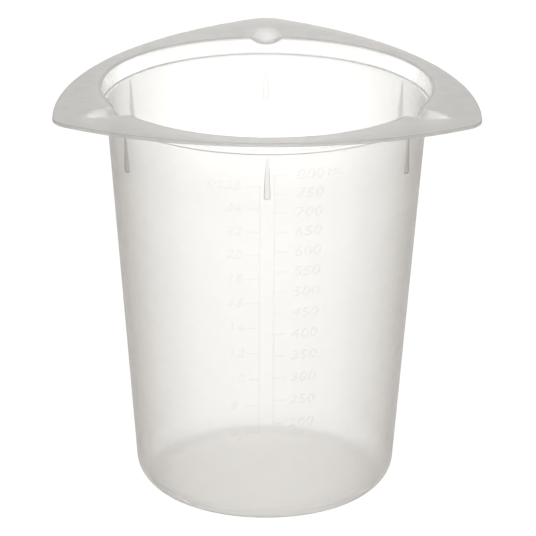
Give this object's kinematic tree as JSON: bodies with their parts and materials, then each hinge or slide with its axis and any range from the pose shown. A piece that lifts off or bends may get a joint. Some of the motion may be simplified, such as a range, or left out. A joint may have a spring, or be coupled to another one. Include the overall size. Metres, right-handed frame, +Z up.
{
  "type": "pouring beaker",
  "caption": "Tapered translucent plastic laboratory beaker with a three-cornered pour flange, stacking lugs and raised millilitre and ounce scales.",
  "frame": {"origin": "centre of the flat underside, on the bench", "axes": "+Z up through the mouth; +Y towards one corner of the flange; the graduations face -Y"},
  "size_m": [0.135, 0.1362, 0.137],
  "materials": {
    "polypropylene": "natural translucent polypropylene, fine satin moulding",
    "scale_relief": "same natural polypropylene, raised lines"
  },
  "bodies": {
    "root": {"floor_disc": "polypropylene", "gate_mark": "polypropylene", "heel_ring": "polypropylene", "side_wall": "polypropylene", "stacking_ledge": "polypropylene", "collar": "polypropylene", "pour_flange": "polypropylene", "spout_scoop_back": "polypropylene", "spout_scoop_front_right": "polypropylene", "spout_scoop_front_left": "polypropylene", "stacking_lug_back": "polypropylene", "stacking_lug_back_left": "polypropylene", "stacking_lug_front_left": "polypropylene", "stacking_lug_front": "polypropylene", "stacking_lug_front_right": "polypropylene", "stacking_lug_back_right": "polypropylene", "millilitre_scale": "scale_relief", "ounce_scale": "scale_relief"}
  },
  "joints": []
}
